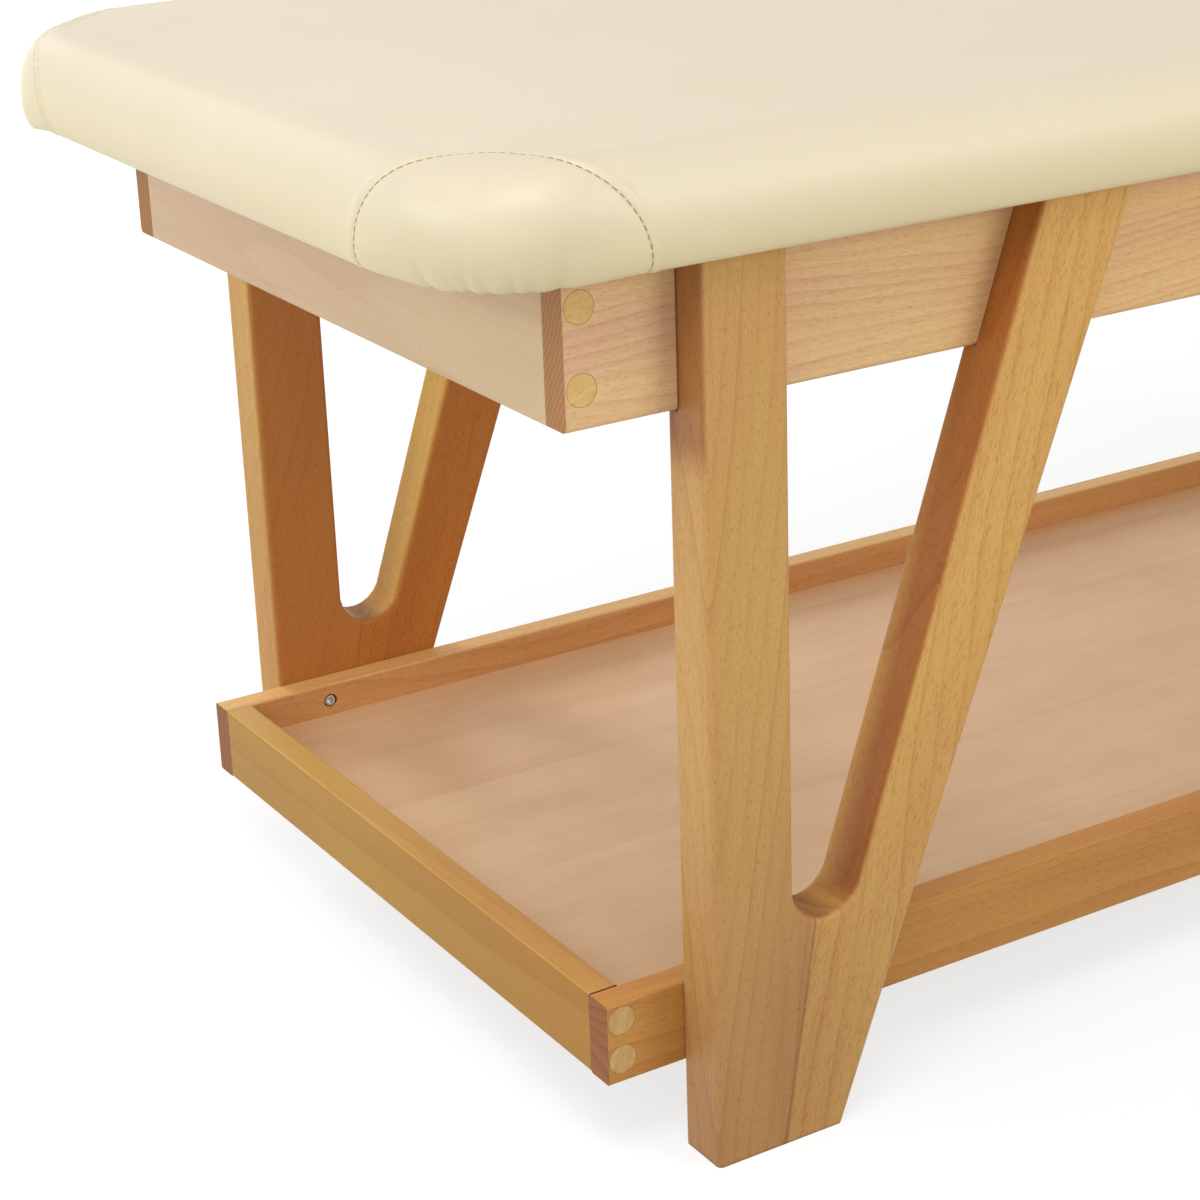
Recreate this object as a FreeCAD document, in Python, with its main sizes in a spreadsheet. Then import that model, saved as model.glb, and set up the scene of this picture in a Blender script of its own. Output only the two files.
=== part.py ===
import FreeCAD, Part
import Sketcher
import math
import os

# Treatment table: a padded top on a beech frame, four V-shaped legs, and a
# storage tray low between the legs. X runs along the table, -Y is the front,
# and the origin is the middle of the footprint on the floor.

# Driving sizes in millimetres, each with what it measures.
SIZES = (
    ("frame_length", 1800, "upper frame over its side rails"),
    ("frame_width", 690, "upper frame over its outer faces"),
    ("rail_thick", 25, "thickness of the upper rails"),
    ("rail_depth", 110, "height of the upper rails"),
    ("rail_clear", 560, "floor to the lower edge of the upper rails"),
    ("rail_round", 4.5, "rounding of the side rails' lower outer edge"),
    ("cross_setback", 500, "frame end to the middle of an outer cross rail"),
    ("cross_width", 70, "width of the flat cross rails"),
    ("cross_thick", 25, "thickness of the flat cross rails"),
    ("leg_thick", 44, "thickness of a leg across the table"),
    ("leg_housing", 14, "depth of the side rail's seat in the leg"),
    ("post_setback", 85, "frame end to the outer edge of the post"),
    ("post_width", 67, "width of the upright post"),
    ("foot_width", 109, "width of the whole leg at the floor"),
    ("brace_near_top", 283, "post's outer edge to the brace's near edge, at the top"),
    ("brace_far_top", 364, "post's outer edge to the brace's far edge, at the top"),
    ("brace_near_foot", 58.7, "post's outer edge to the brace's near edge, at the floor"),
    ("glue_foot", 58, "post's outer edge to the glue line, at the floor"),
    ("glue_top", 165, "post's outer edge to the glue line's direction, at the top"),
    ("crotch_round", 29, "rounding where post and brace meet"),
    ("leg_arris", 4, "rounding of the leg's long edges"),
    ("plug_dia", 23, "wooden plugs over the screws"),
    ("plug_length", 8, "length of a wooden plug"),
    ("socket_deep", 12, "depth of a plug's socket"),
    ("plug_low", 27.5, "upper rail's lower edge to its lower plugs"),
    ("plug_high", 82, "upper rail's lower edge to its upper plugs"),
    ("screw_dia", 5, "wood screws, across the shank"),
    ("screw_head_dia", 10, "wood screws, across the head"),
    ("screw_head_thick", 3.5, "wood screws, height of the head"),
    ("screw_length", 60, "wood screws, shank without the head"),
    ("deck_screw_length", 30, "screws into the padded top's board"),
    ("deck_screw_sink", 5, "depth of those screws' heads in the cross rail"),
    ("deck_screw_out", 200, "table's middle line to those screws"),
    ("dowel_dia", 10, "dowels of the cross rails"),
    ("dowel_length", 40, "length of those dowels"),
    ("dowel_in_rail", 15, "part of a dowel that is in the side rail"),
    ("dowel_out", 20, "cross rail's middle to a dowel"),
    ("leg_bolt_dia", 8, "bolts of the upper frame, across the shank"),
    ("leg_bolt_head_dia", 13, "their heads, across"),
    ("leg_bolt_head_thick", 8, "their heads, height"),
    ("leg_bolt_key", 6, "their key sockets, across flats"),
    ("leg_bolt_sink", 9, "depth of their heads' bores"),
    ("leg_bolt_bore", 16, "width of their heads' bores"),
    ("leg_bolt_length", 34, "their shanks"),
    ("leg_insert_dia", 12, "their threaded inserts, across"),
    ("leg_insert_length", 20, "their threaded inserts, length"),
    ("tray_setback", 22, "upper frame's end to the tray's end"),
    ("tray_clear", 68, "floor to the tray's lower edge"),
    ("tray_depth", 63.5, "height of the tray rails"),
    ("tray_thick", 24, "thickness of the tray rails"),
    ("tray_round", 2, "rounding of the tray rails' edges"),
    ("tray_plug_low", 18.5, "tray's lower edge to its lower plugs"),
    ("tray_plug_high", 49.5, "tray's lower edge to its upper plugs"),
    ("floor_drop", 29, "tray rails' top to the tray floor"),
    ("floor_thick", 9, "thickness of the tray floor"),
    ("groove_deep", 7, "depth of the floor's groove"),
    ("floor_play", 1, "room for the floor to swell in its groove"),
    ("tray_bolt_in", 37.5, "post's outer edge to the tray's bolt"),
    ("tray_bolt_up", 48, "tray's lower edge to the tray's bolt"),
    ("tray_bolt_dia", 6, "tray bolts, across the shank"),
    ("tray_bolt_head_dia", 10, "their heads, across"),
    ("tray_bolt_head_thick", 6, "their heads, height"),
    ("tray_bolt_key", 5, "their key sockets, across flats"),
    ("tray_bolt_sink", 7, "depth of their heads' bores"),
    ("tray_bolt_bore", 13, "width of their heads' bores"),
    ("tray_bolt_length", 33, "their shanks"),
    ("tray_insert_dia", 10, "their threaded inserts, across"),
    ("tray_insert_length", 18, "their threaded inserts, length"),
    ("key_deep", 3, "depth of the key sockets"),
    ("pad_end_over", 100, "how far the padded top runs past the frame's ends"),
    ("pad_side_over", 40, "how far the padded top runs past the frame's sides"),
    ("pad_belly", 16, "padded top's underside to its widest line"),
    ("pad_shoulder_up", 66, "padded top's underside to the top of its shoulder"),
    ("pad_shoulder_in", 27, "how far the shoulder draws in"),
    ("pad_edge_in", 5, "how far the lower edge draws in"),
    ("pad_crown", 6, "rise of the top from its shoulder to the middle"),
    ("pad_corner", 90, "rounding of the corners in plan"),
    ("pad_flat", 40, "half width of the flat middle of the crown"),
    ("cover_thick", 1.2, "covering with its backing"),
    ("cover_gap", 0.3, "clearance between covering and foam"),
    ("cover_turn", 62, "covering turned in under the board"),
    ("board_in", 14, "padded top's widest line to the board's edge"),
    ("board_thick", 12, "plywood under the foam"),
    ("corner_reach", 134, "corner panel's seam, from the padded top's lower corner"),
    ("corner_shift", 7, "the seam's centre, along the table from that corner"),
    ("overrun", 5, "how far a cutting shape runs past what it cuts"),
)

# Shapes of the cushion's profile as shares: the lower edge, then the crown.
LOWER_EDGE_SHARES = ((1.0, 0.0), (0.35, 0.3), (0.07, 0.65))
CROWN_SHARES = (0.3, 0.65, 1.0)
SHOULDER_STEPS = 4
SHOULDER_POWER = 1.75
CORNER_STEPS = 6

# Steps of the leg's crotch, and numbers of flats on the round pieces: plugs that
# show, heads, hidden rods and keys.
CROTCH_STEPS = 11
PLUG_FLAT_COUNT = 16
HEAD_FLAT_COUNT = 12
ROD_FLAT_COUNT = 8
KEY_FLAT_COUNT = 6

doc = FreeCAD.newDocument("TreatmentTable")
sheet = doc.addObject("Spreadsheet::Sheet", "Sizes")
for row, (name, value, note) in enumerate(SIZES, start=1):
    sheet.set(f"A{row}", note)
    sheet.set(f"B{row}", str(value))
    sheet.setAlias(f"B{row}", name)
doc.recompute()


class Length:
    """A length and the sheet formula that it comes from."""

    def __init__(self, formula, value):
        self.formula = formula
        self.value = value

    def joined(self, sign, other, value):
        text = other.formula if isinstance(other, Length) else str(other)
        return Length(f"({self.formula} {sign} {text})", value)

    def __add__(self, other):
        return self.joined("+", other, self.value + other.value)

    def __sub__(self, other):
        return self.joined("-", other, self.value - other.value)

    def __mul__(self, other):
        factor = other.value if isinstance(other, Length) else other
        return self.joined("*", other, self.value * factor)

    def __truediv__(self, other):
        divisor = other.value if isinstance(other, Length) else other
        return self.joined("/", other, self.value / divisor)

    def __neg__(self):
        return self * -1


class Sizes:
    """Every driving size by its name."""


size = Sizes()
for name, value, note in SIZES:
    setattr(size, name, Length(f"Sizes.{name}", float(value)))
ZERO = Length("0", 0.0)

# Levels and faces that several pieces share.
half_length = size.frame_length / 2
half_width = size.frame_width / 2
rail_top = size.rail_clear + size.rail_depth
rail_inner = half_width - size.rail_thick
leg_inner = half_width - size.leg_housing
post_edge = -half_length + size.post_setback
tray_end = half_length - size.tray_setback
tray_inner = leg_inner - size.tray_thick
tray_top = size.tray_clear + size.tray_depth
floor_top = tray_top - size.floor_drop
floor_base = floor_top - size.floor_thick
cross_base = rail_top - size.cross_thick
board_base = rail_top + size.cover_thick
half_pad_x = half_length + size.pad_end_over
half_pad_y = half_width + size.pad_side_over


def new_body(label):
    body = doc.addObject("PartDesign::Body", label)
    body.Label = label
    return body


def new_sketch(body, plane, offset=ZERO):
    """A sketch on one of the body's own planes, moved along the plane's normal."""
    sketch = body.newObject("Sketcher::SketchObject", f"{body.Name}_sketch")
    origin_plane = [item for item in body.Origin.OriginFeatures if item.Role == plane]
    sketch.AttachmentSupport = [(origin_plane[0], "")]
    sketch.MapMode = "FlatFace"
    sketch.setExpression("AttachmentOffset.Base.z", offset.formula)
    return sketch


def hold(sketch, kind, geometry, point, length):
    """Tie one coordinate of a sketch point to a length, or to an axis where it is zero."""
    if length is ZERO:
        axis = -2 if kind == "DistanceX" else -1
        sketch.addConstraint(Sketcher.Constraint("PointOnObject", geometry, point, axis))
        return
    tie = Sketcher.Constraint(kind, -1, 1, geometry, point, length.value)
    sketch.setExpression(f"Constraints[{sketch.addConstraint(tie)}]", length.formula)


def polygon(sketch, points):
    """A closed outline through points given as pairs of lengths."""
    first = sketch.GeometryCount
    spots = [FreeCAD.Vector(x.value, y.value, 0) for x, y in points]
    for start, end in zip(spots, spots[1:] + spots[:1]):
        sketch.addGeometry(Part.LineSegment(start, end), False)
    for index, (x, y) in enumerate(points):
        before = first + (index - 1) % len(points)
        sketch.addConstraint(Sketcher.Constraint("Coincident", before, 2, first + index, 1))
        hold(sketch, "DistanceX", first + index, 1, x)
        hold(sketch, "DistanceY", first + index, 1, y)


def rectangle(sketch, x_low, x_high, y_low, y_high):
    polygon(sketch, [(x_low, y_low), (x_high, y_low), (x_high, y_high), (x_low, y_high)])


def pad(body, sketch, length):
    feature = body.newObject("PartDesign::Pad", f"{body.Name}_pad")
    feature.Profile = sketch
    feature.setExpression("Length", length.formula)
    doc.recompute()
    return feature


def pocket(body, sketch, depth=None, forward=False):
    """Cut the sketch's outline, against its normal or along it, and check that it cuts."""
    before = body.Shape.Volume
    feature = body.newObject("PartDesign::Pocket", f"{body.Name}_pocket")
    feature.Profile = sketch
    feature.Reversed = forward
    if depth is None:
        feature.Type = "ThroughAll"
    else:
        feature.setExpression("Length", depth.formula)
    doc.recompute()
    if not body.Shape.Volume < before:
        raise RuntimeError(f"{body.Label}: a pocket cuts nothing")
    return feature


def fillet(body, radius, wanted):
    """Round the edges of the body's tip for which wanted(box) is true."""
    base = body.Tip
    names = []
    for number, edge in enumerate(base.Shape.Edges, start=1):
        if wanted(edge.BoundBox):
            names.append(f"Edge{number}")
    if not names:
        raise RuntimeError(f"{body.Label}: no edge to round")
    feature = body.newObject("PartDesign::Fillet", f"{body.Name}_fillet")
    feature.Base = (base, names)
    feature.setExpression("Radius", radius.formula)
    doc.recompute()
    return feature


def near(value, length):
    return math.isclose(value, length.value, abs_tol=1e-4)


def place(item, x=ZERO, y=ZERO, z=ZERO):
    for axis, length in (("x", x), ("y", y), ("z", z)):
        item.setExpression(f"Placement.Base.{axis}", length.formula)


def mirrored(source, label, across_x=False):
    """The piece on the table's other end (across_x) or other side."""
    item = doc.addObject("Part::Mirroring", label)
    item.Label = label
    item.Source = source
    item.Normal = FreeCAD.Vector(1, 0, 0) if across_x else FreeCAD.Vector(0, 1, 0)
    return item


def compound(label, items):
    group = doc.addObject("Part::Compound", label)
    group.Label = label
    group.Links = items
    return group


def joined(label, items):
    fuse = doc.addObject("Part::MultiFuse", label)
    fuse.Shapes = items
    return fuse


def cut(label, base, tool):
    item = doc.addObject("Part::Cut", label)
    item.Label = label
    item.Base = base
    item.Tool = tool
    return item


def rod(label, flats, diameter, length, x, y, z, upright=False):
    """A rod with a number of flats that starts at a point and runs along +Y, or up."""
    item = doc.addObject("Part::Prism", label)
    item.Polygon = flats
    item.setExpression("Circumradius", (diameter / 2).formula)
    item.setExpression("Height", length.formula)
    if not upright:
        item.Placement.Rotation = FreeCAD.Rotation(FreeCAD.Vector(1, 0, 0), -90)
    place(item, x, y, z)
    return item


def drilled(label, blank, rods):
    """The blank with its bores, which it loses as rods of the bores' sizes."""
    tool = rods[0] if len(rods) == 1 else joined(f"{label}_bores", rods)
    return cut(label, blank, tool)


def at_four_corners(label, items):
    """One node with the front left corner's fasteners and their images at the others."""
    corner = compound(f"{label}_corner", items)
    end = mirrored(corner, f"{label}_end", across_x=True)
    front = compound(f"{label}_front", [corner, end])
    back = mirrored(front, f"{label}_back")
    return compound(label, [front, back])


nodes = []

# Legs: the whole V is cut out with a round crotch, its long edges are rounded, and
# the glue line then parts the upright post from the leaning brace. The side rail sits
# in a housing on the inner face, and threaded inserts take the bolts.


def leg_x(at_foot, at_top, height):
    """Where a straight edge of the leg is at a height, from its places at foot and top."""
    return post_edge + at_foot + (at_top - at_foot) * height / rail_top


near_top = post_edge + size.brace_near_top
post_near = post_edge + size.post_width
brace_slant = size.brace_near_top - size.brace_near_foot
apex_height = rail_top * (size.post_width - size.brace_near_foot) / brace_slant
brace_lean = math.atan2(brace_slant.value, rail_top.value)
crotch_level = apex_height + size.crotch_round / math.tan(brace_lean / 2)
bolt_level = size.rail_clear + size.rail_depth / 2
brace_near = leg_x(size.brace_near_foot, size.brace_near_top, bolt_level)
brace_far = leg_x(size.foot_width, size.brace_far_top, bolt_level)
post_bolt_x = post_edge + size.post_width / 2
brace_bolt_x = (brace_near + brace_far) / 2
tray_bolt_x = post_edge + size.tray_bolt_in
tray_bolt_level = size.tray_clear + size.tray_bolt_up
leg_insert_start = -half_width - size.leg_insert_length
tray_insert_start = -leg_inner - size.tray_insert_length


def crotch_outline():
    """The rounding between brace and post as short flats that touch its circle."""
    points = []
    step = (math.pi - brace_lean) / CROTCH_STEPS
    for number in range(CROTCH_STEPS):
        turn = brace_lean + step * (number + 0.5)
        across = 1 + math.cos(turn) / math.cos(step / 2)
        down = math.sin(turn) / math.cos(step / 2)
        points.append((post_near + size.crotch_round * across,
                       crotch_level - size.crotch_round * down))
    return points


def leg_blank(label, is_post):
    body = new_body(label)
    outline = new_sketch(body, "XZ_Plane", leg_inner)
    polygon(outline, [
        (post_edge, ZERO),
        (post_edge + size.foot_width, ZERO),
        (post_edge + size.brace_far_top, rail_top),
        (near_top, rail_top),
        *crotch_outline(),
        (post_near, rail_top),
        (post_edge, rail_top),
    ])
    pad(body, outline, size.leg_thick)

    def is_arris(box):
        at_end = near(box.ZMax, ZERO) or near(box.ZMin, rail_top)
        return near(box.YLength, ZERO) and not at_end

    fillet(body, size.leg_arris, is_arris)
    split = new_sketch(body, "XZ_Plane", leg_inner)
    low = -size.overrun
    high = rail_top + size.overrun
    brace_side = post_edge + size.brace_far_top + size.overrun
    post_side = post_edge - size.overrun
    cut_side = brace_side if is_post else post_side
    polygon(split, [
        (leg_x(size.glue_foot, size.glue_top, low), low),
        (cut_side, low),
        (cut_side, high),
        (leg_x(size.glue_foot, size.glue_top, high), high),
    ])
    pocket(body, split, forward=True)
    housing = new_sketch(body, "XZ_Plane", half_width)
    rectangle(housing, post_side, brace_side, size.rail_clear, high)
    pocket(body, housing, size.leg_housing + size.overrun)
    return body


def leg_insert_bore(label, x):
    return rod(label, ROD_FLAT_COUNT, size.leg_insert_dia, size.leg_insert_length + size.overrun,
               x, leg_insert_start, bolt_level)


tray_insert_bore = rod("tray_insert_bore", ROD_FLAT_COUNT, size.tray_insert_dia,
                       size.tray_insert_length + size.overrun,
                       tray_bolt_x, tray_insert_start, tray_bolt_level)
leg_boards = [
    ("leg_post", leg_blank("post_blank", True),
     [leg_insert_bore("post_insert_bore", post_bolt_x), tray_insert_bore]),
    ("leg_brace", leg_blank("brace_blank", False),
     [leg_insert_bore("brace_insert_bore", brace_bolt_x)]),
]
for board, blank, bores in leg_boards:
    front_left = drilled(f"{board}_front_left", blank, bores)
    front_right = mirrored(front_left, f"{board}_front_right", across_x=True)
    back_left = mirrored(front_left, f"{board}_back_left")
    back_right = mirrored(front_right, f"{board}_back_right")
    nodes += [front_left, front_right, back_left, back_right]

# Upper frame: side rails run the whole length, end rails sit between them and are
# screwed from outside under wooden plugs, and three flat cross rails on dowels
# carry the padded top.

frame_screw_x = half_length - size.rail_thick / 2
plug_levels = (size.rail_clear + size.plug_low, size.rail_clear + size.plug_high)
cross_places = (-half_length + size.cross_setback, ZERO, half_length - size.cross_setback)
dowel_level = rail_top - size.cross_thick / 2
dowel_start = -rail_inner - size.dowel_in_rail
dowel_spots = [cross + offset for cross in cross_places
               for offset in (-size.dowel_out, size.dowel_out)]


def plug_and_screw_bores(label, face, thick, spots):
    """A side rail's plug sockets, and the screw holes that go on through it."""
    bores = []
    for number, (x, z) in enumerate(spots):
        bores.append(rod(f"{label}_socket_{number}", PLUG_FLAT_COUNT, size.plug_dia,
                         size.socket_deep + size.overrun, x, -face - size.overrun, z))
        bores.append(rod(f"{label}_shank_{number}", ROD_FLAT_COUNT, size.screw_dia,
                         thick + size.overrun, x, -face, z))
    return bores


def bolt_bores(label, spots, inner, thick, sink, width, diameter):
    """A side rail's bolt holes, sunk from inside for the heads."""
    bores = []
    for number, (x, z) in enumerate(spots):
        bores.append(rod(f"{label}_hole_{number}", ROD_FLAT_COUNT, diameter,
                         thick + size.overrun * 2, x, -inner - thick - size.overrun, z))
        bores.append(rod(f"{label}_sink_{number}", HEAD_FLAT_COUNT, width,
                         sink + size.overrun, x, -inner - sink, z))
    return bores


def end_bores(label, spots, reach, diameter, depth):
    """Bores along Y into both ends of a rail that runs across the table."""
    bores = []
    for number, (x, z) in enumerate(spots):
        for side, start in (("front", -reach - size.overrun), ("back", reach - depth)):
            bores.append(rod(f"{label}_{side}_{number}", ROD_FLAT_COUNT, diameter,
                             depth + size.overrun, x, start, z))
    return bores


side_rail = new_body("side_rail_blank")
section = new_sketch(side_rail, "YZ_Plane", -half_length)
rectangle(section, -half_width, -rail_inner, size.rail_clear, rail_top)
pad(side_rail, section, size.frame_length)
fillet(side_rail, size.rail_round,
       lambda box: near(box.YMin, -half_width) and near(box.YMax, -half_width)
       and near(box.ZMax, size.rail_clear))
rail_screws = [(frame_screw_x * end, level) for end in (-1, 1) for level in plug_levels]
rail_bolts = [(x * end, bolt_level) for end in (-1, 1) for x in (post_bolt_x, brace_bolt_x)]
side_rail_bores = plug_and_screw_bores("side_rail", half_width, size.rail_thick, rail_screws)
side_rail_bores += bolt_bores("side_rail", rail_bolts, rail_inner, size.rail_thick,
                              size.leg_bolt_sink, size.leg_bolt_bore, size.leg_bolt_dia)
side_rail_bores += [rod(f"side_rail_dowel_bore_{number}", ROD_FLAT_COUNT, size.dowel_dia,
                        size.dowel_in_rail + size.overrun, x, dowel_start, dowel_level)
                    for number, x in enumerate(dowel_spots)]
side_rail_front = drilled("side_rail_front", side_rail, side_rail_bores)
nodes += [side_rail_front, mirrored(side_rail_front, "side_rail_back")]

end_rail = new_body("end_rail_blank")
section = new_sketch(end_rail, "YZ_Plane", -half_length)
rectangle(section, -rail_inner, rail_inner, size.rail_clear, rail_top)
pad(end_rail, section, size.rail_thick)
pilot_deep = size.screw_length - (size.rail_thick - size.socket_deep)
end_rail_left = drilled("end_rail_left", end_rail, end_bores(
    "end_rail", [(-frame_screw_x, level) for level in plug_levels],
    rail_inner, size.screw_dia, pilot_deep))
nodes += [end_rail_left, mirrored(end_rail_left, "end_rail_right", across_x=True)]

cross_blank = new_body("cross_rail_blank")
flat = new_sketch(cross_blank, "YZ_Plane", -size.cross_width / 2)
rectangle(flat, -rail_inner, rail_inner, cross_base, rail_top)
pad(cross_blank, flat, size.cross_width)
cross_bores = end_bores("cross_rail", [(-size.dowel_out, dowel_level), (size.dowel_out, dowel_level)],
                        rail_inner, size.dowel_dia, size.dowel_length - size.dowel_in_rail)
for number, y in enumerate((-size.deck_screw_out, size.deck_screw_out)):
    cross_bores.append(rod(f"cross_rail_sink_{number}", ROD_FLAT_COUNT, size.screw_head_dia,
                           size.deck_screw_sink + size.overrun,
                           ZERO, y, cross_base - size.overrun, upright=True))
    cross_bores.append(rod(f"cross_rail_hole_{number}", ROD_FLAT_COUNT, size.screw_dia,
                           size.cross_thick + size.overrun, ZERO, y, cross_base, upright=True))
cross_tools = joined("cross_rail_bores", cross_bores)
for label, cross in zip(("left", "middle", "right"), cross_places):
    item = cut(f"cross_rail_{label}", cross_blank, cross_tools)
    place(item, cross)
    nodes.append(item)

# Fasteners and plugs of the upper frame.


def screw(label, length, x, y, z, upright=False):
    """A wood screw whose shank starts at a point, with its head behind that point."""
    head_y = y if upright else y - size.screw_head_thick
    head_z = z - size.screw_head_thick if upright else z
    head = rod(f"{label}_head", ROD_FLAT_COUNT, size.screw_head_dia, size.screw_head_thick,
               x, head_y, head_z, upright)
    shank = rod(f"{label}_shank", ROD_FLAT_COUNT, size.screw_dia, length, x, y, z, upright)
    return joined(label, [head, shank])


def bolt(label, diameter, length, head_dia, head_thick, key, x, seat, z):
    """A cap screw that points to -Y, with its head on a seat and a key socket."""
    shank = rod(f"{label}_shank", ROD_FLAT_COUNT, diameter, length, x, seat - length, z)
    head = rod(f"{label}_head", HEAD_FLAT_COUNT, head_dia, head_thick, x, seat, z)
    key_dia = key / math.cos(math.pi / KEY_FLAT_COUNT)
    socket = rod(f"{label}_key", KEY_FLAT_COUNT, key_dia, size.key_deep + size.overrun,
                 x, seat + head_thick - size.key_deep, z)
    return cut(label, joined(f"{label}_solid", [shank, head]), socket)


def insert(label, outer_dia, inner_dia, length, x, start, z):
    outer = rod(f"{label}_outer", ROD_FLAT_COUNT, outer_dia, length, x, start, z)
    bore = rod(f"{label}_bore", ROD_FLAT_COUNT, inner_dia, length + size.overrun * 2,
               x, start - size.overrun, z)
    return cut(label, outer, bore)


def plugs_and_screws(label, x, face, levels):
    """Two nodes: the plugs flush with the side rails' faces, and the screws under them."""
    plugs = [rod(f"{label}_plug_{number}", PLUG_FLAT_COUNT, size.plug_dia, size.plug_length, x, -face, z)
             for number, z in enumerate(levels)]
    screws = [screw(f"{label}_screw_{number}", size.screw_length, x, -face + size.socket_deep, z)
              for number, z in enumerate(levels)]
    return [at_four_corners(f"{label}_plugs", plugs), at_four_corners(f"{label}_screws", screws)]


nodes += plugs_and_screws("frame", -frame_screw_x, half_width, plug_levels)
front_dowels = compound("front_dowels", [
    rod(f"dowel_{number}", ROD_FLAT_COUNT, size.dowel_dia, size.dowel_length, x, dowel_start, dowel_level)
    for number, x in enumerate(dowel_spots)])
nodes.append(compound("cross_rail_dowels", [front_dowels, mirrored(front_dowels, "back_dowels")]))
front_deck_screws = compound("front_deck_screws", [
    screw(f"deck_screw_{number}", size.deck_screw_length, cross, -size.deck_screw_out,
          cross_base + size.deck_screw_sink, upright=True)
    for number, cross in enumerate(cross_places)])
nodes.append(compound("deck_screws", [front_deck_screws,
                                      mirrored(front_deck_screws, "back_deck_screws")]))
leg_bolt_places = (("post", post_bolt_x), ("brace", brace_bolt_x))
nodes.append(at_four_corners("leg_bolts", [
    bolt(f"{board}_bolt", size.leg_bolt_dia, size.leg_bolt_length, size.leg_bolt_head_dia,
         size.leg_bolt_head_thick, size.leg_bolt_key, x, -rail_inner - size.leg_bolt_sink, bolt_level)
    for board, x in leg_bolt_places]))
nodes.append(at_four_corners("leg_inserts", [
    insert(f"{board}_insert", size.leg_insert_dia, size.leg_bolt_dia, size.leg_insert_length,
           x, leg_insert_start, bolt_level)
    for board, x in leg_bolt_places]))

# Storage tray: four low rails between the legs' inner faces, screwed at the corners
# under plugs, with a plywood floor in a groove and one bolt into each post.

end_inner = tray_end - size.tray_thick
tray_screw_x = tray_end - size.tray_thick / 2
tray_levels = (size.tray_clear + size.tray_plug_low, size.tray_clear + size.tray_plug_high)

tray_side = new_body("tray_side_blank")
section = new_sketch(tray_side, "YZ_Plane", -tray_end)
rectangle(section, -leg_inner, -tray_inner, size.tray_clear, tray_top)
pad(tray_side, section, tray_end * 2)
fillet(tray_side, size.tray_round,
       lambda box: near(box.YLength, ZERO) and near(box.ZLength, ZERO))
groove = new_sketch(tray_side, "XZ_Plane", tray_inner)
groove_end = end_inner + size.groove_deep
rectangle(groove, -groove_end, groove_end, floor_base, floor_top)
pocket(tray_side, groove, size.groove_deep, forward=True)
tray_screws = [(tray_screw_x * end, level) for end in (-1, 1) for level in tray_levels]
tray_bolts = [(tray_bolt_x * end, tray_bolt_level) for end in (-1, 1)]
tray_side_bores = plug_and_screw_bores("tray_side", leg_inner, size.tray_thick, tray_screws)
tray_side_bores += bolt_bores("tray_side", tray_bolts, tray_inner, size.tray_thick,
                              size.tray_bolt_sink, size.tray_bolt_bore, size.tray_bolt_dia)
tray_side_rail = drilled("tray_side_rail_front", tray_side, tray_side_bores)
nodes += [tray_side_rail, mirrored(tray_side_rail, "tray_side_rail_back")]

tray_end_blank = new_body("tray_end_blank")
section = new_sketch(tray_end_blank, "XZ_Plane", -tray_inner)
rectangle(section, -tray_end, -end_inner, size.tray_clear, tray_top)
pad(tray_end_blank, section, tray_inner * 2)
fillet(tray_end_blank, size.tray_round,
       lambda box: near(box.XLength, ZERO) and near(box.ZLength, ZERO))
groove = new_sketch(tray_end_blank, "YZ_Plane", -end_inner)
rectangle(groove, -tray_inner - size.overrun, tray_inner + size.overrun, floor_base, floor_top)
pocket(tray_end_blank, groove, size.groove_deep)
tray_pilot = size.screw_length - (size.tray_thick - size.socket_deep)
tray_end_rail = drilled("tray_end_rail_left", tray_end_blank, end_bores(
    "tray_end_rail", [(-tray_screw_x, level) for level in tray_levels],
    tray_inner, size.screw_dia, tray_pilot))
nodes += [tray_end_rail, mirrored(tray_end_rail, "tray_end_rail_right", across_x=True)]

tray_floor = doc.addObject("Part::Box", "tray_floor")
tray_floor.Label = "tray_floor"
floor_x = end_inner + size.groove_deep - size.floor_play
floor_y = tray_inner + size.groove_deep - size.floor_play
tray_floor.setExpression("Length", (floor_x * 2).formula)
tray_floor.setExpression("Width", (floor_y * 2).formula)
tray_floor.setExpression("Height", size.floor_thick.formula)
place(tray_floor, -floor_x, -floor_y, floor_base)
nodes.append(tray_floor)

nodes += plugs_and_screws("tray", -tray_screw_x, leg_inner, tray_levels)
nodes.append(at_four_corners("tray_bolts", [
    bolt("tray_bolt", size.tray_bolt_dia, size.tray_bolt_length, size.tray_bolt_head_dia,
         size.tray_bolt_head_thick, size.tray_bolt_key,
         tray_bolt_x, -tray_inner - size.tray_bolt_sink, tray_bolt_level)]))
nodes.append(at_four_corners("tray_inserts", [
    insert("tray_insert", size.tray_insert_dia, size.tray_bolt_dia, size.tray_insert_length,
           tray_bolt_x, tray_insert_start, tray_bolt_level)]))

# Padded top: foam on a plywood board, in a sewn covering whose edge is turned in
# under the board. Its profile swells to a belly near the underside, rounds over a
# shoulder and rises in a low crown.


def rounded_outline(half_x, half_y, corner, z):
    """The points of an outline at one height, with short flats round each corner."""
    points = []
    for quarter, (sign_x, sign_y) in enumerate(((1, 1), (-1, 1), (-1, -1), (1, -1))):
        for step in range(CORNER_STEPS + 1):
            turn = math.pi / 2 * (quarter + step / CORNER_STEPS)
            x = sign_x * (half_x - corner) + corner * math.cos(turn)
            y = sign_y * (half_y - corner) + corner * math.sin(turn)
            points.append(FreeCAD.Vector(x, y, z))
    return points


def flat_face(points):
    return Part.Face(Part.makePolygon(points + points[:1]))


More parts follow.
